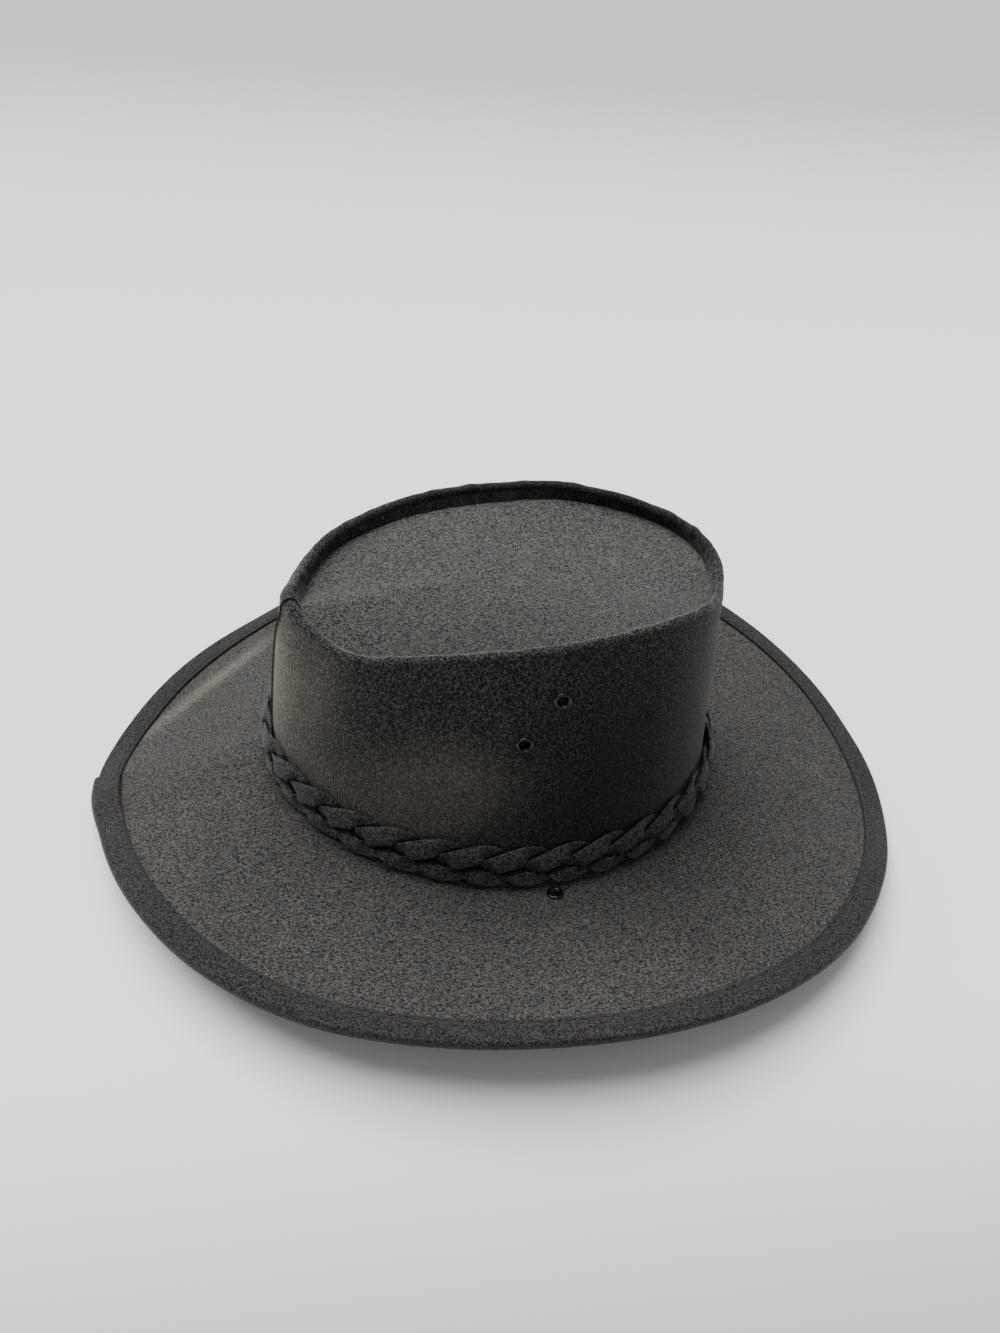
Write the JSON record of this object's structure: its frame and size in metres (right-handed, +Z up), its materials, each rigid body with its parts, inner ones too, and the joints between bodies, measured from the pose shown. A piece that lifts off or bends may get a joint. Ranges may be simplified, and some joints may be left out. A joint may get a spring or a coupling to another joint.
{
  "type": "bush hat",
  "caption": "Suede leather bush hat with a sunken oval crown, a wide brim curled up at the sides, a bound edge, a plaited hat band and eyelet vents.",
  "frame": {"origin": "on the floor under the middle of the hat's outline", "axes": "+X towards the front of the hat, +Y towards the wearer's left, +Z up"},
  "size_m": [0.38, 0.3388, 0.1323],
  "materials": {
    "crown_suede": "charcoal suede with a fine nap, scuffed olive brown at the back",
    "brim_suede": "mid grey suede with a fine nap",
    "binding_suede": "dark grey suede strip, stitched along its inner edge",
    "band_suede": "dark grey suede strips",
    "black_metal": "black enamelled eyelets"
  },
  "bodies": {
    "root": {"crown_side": "crown_suede", "crown_tip": "crown_suede", "brim": "brim_suede", "brim_binding": "binding_suede", "band_strand_a": "band_suede", "band_strand_b": "band_suede", "band_strand_c": "band_suede", "right_vent_low": "black_metal", "right_vent_high": "black_metal", "left_vent_low": "black_metal", "left_vent_high": "black_metal", "right_cord_eyelet": "black_metal", "left_cord_eyelet": "black_metal"}
  },
  "joints": []
}
